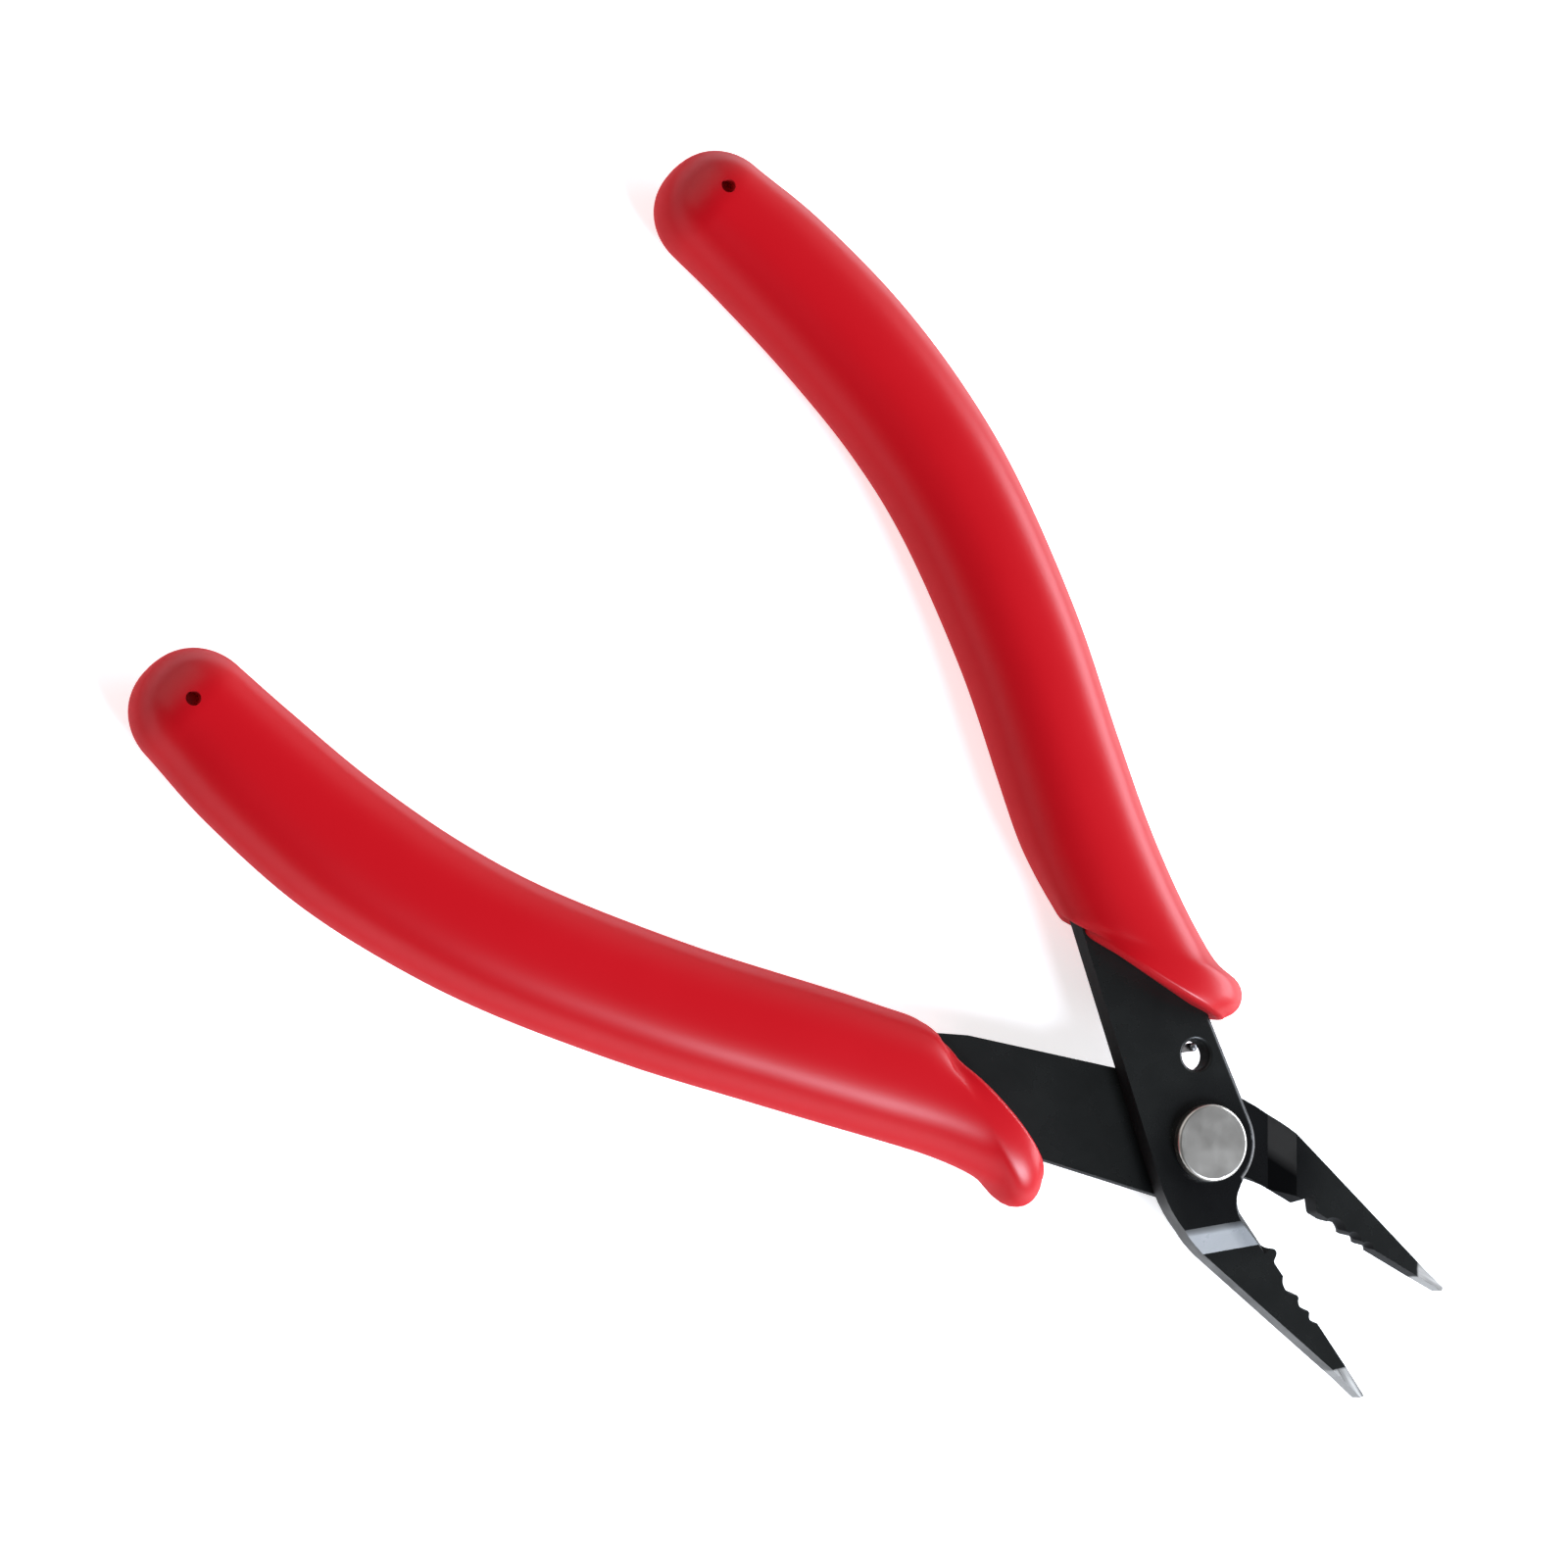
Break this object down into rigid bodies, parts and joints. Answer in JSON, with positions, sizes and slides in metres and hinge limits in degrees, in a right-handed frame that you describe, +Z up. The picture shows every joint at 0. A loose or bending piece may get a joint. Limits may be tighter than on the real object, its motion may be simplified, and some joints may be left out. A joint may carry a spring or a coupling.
{
  "type": "wire stripping and cutting pliers",
  "caption": "Small flat stamped pliers with notched wire-stripping jaws, a bevelled cutter near the pivot, a hidden return spring and bowed soft grips.",
  "frame": {"origin": "middle of the underside of the bounding box, on the plane that both grips lie on", "axes": "+X along the bisector of the half-open jaws, towards their tips; +Y towards the handle whose lever lies on top; +Z up, along the pivot axis, towards the rivet's head"},
  "size_m": [0.1284, 0.08, 0.01],
  "materials": {
    "black_steel": "satin black oxide over stamped plate, bare where ground",
    "bright_steel": "satin",
    "spring_wire": "dark drawn wire",
    "soft_grip": "matte soft vinyl"
  },
  "bodies": {
    "rear_half": {"rear_lever": "black_steel", "rear_grip": "soft_grip", "pivot_rivet": "bright_steel", "spring_washer": "bright_steel", "return_spring": "spring_wire"},
    "front_half": {"front_lever": "black_steel", "front_grip": "soft_grip"}
  },
  "joints": [
    {"name": "pivot", "type": "hinge", "parent": "rear_half", "child": "front_half", "pos_m": [0.03643, 0.00172, 0.005], "axis": [0, 0, 1], "range_deg": [-12, 26], "stiffness_Nm_per_rad": 0.1, "deforming": ["return_spring"]}
  ]
}
